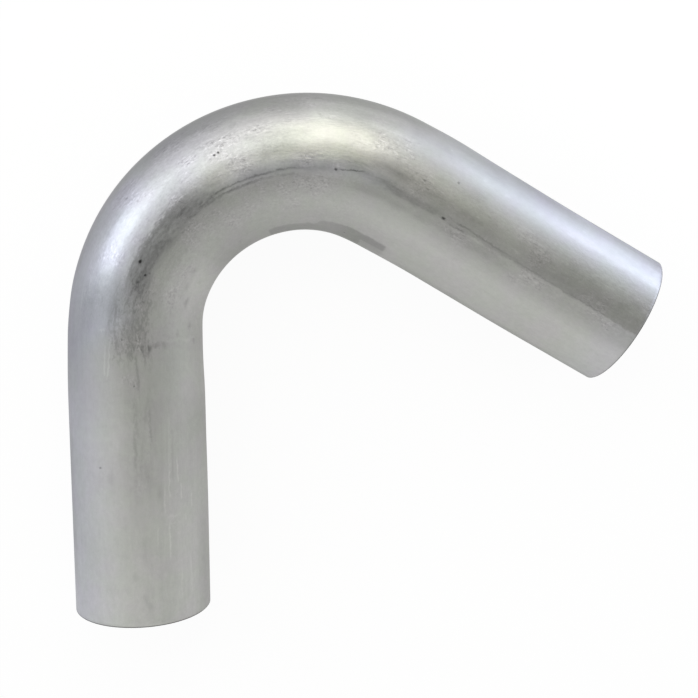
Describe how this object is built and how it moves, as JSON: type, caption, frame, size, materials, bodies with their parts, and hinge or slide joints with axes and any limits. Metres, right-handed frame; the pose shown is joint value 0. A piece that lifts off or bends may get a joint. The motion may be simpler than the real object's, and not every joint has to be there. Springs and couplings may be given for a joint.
{
  "type": "mandrel bend tube",
  "caption": "Round thin-walled aluminium tube with a single 120 degree mandrel bend between two straight legs, both ends open and cut square.",
  "frame": {"origin": "centre of leg A's open end, in the plane of its square cut", "axes": "+Y runs up inside leg A towards the bend, the bend turns towards +X, and +Z is square to the bend's plane; the tube lies on its side, so +Z is up"},
  "size_m": [0.4425, 0.3847, 0.1016],
  "materials": {
    "aluminium": "bare mill finish, satin"
  },
  "bodies": {
    "root": {"bend_tube": "aluminium"}
  },
  "joints": []
}
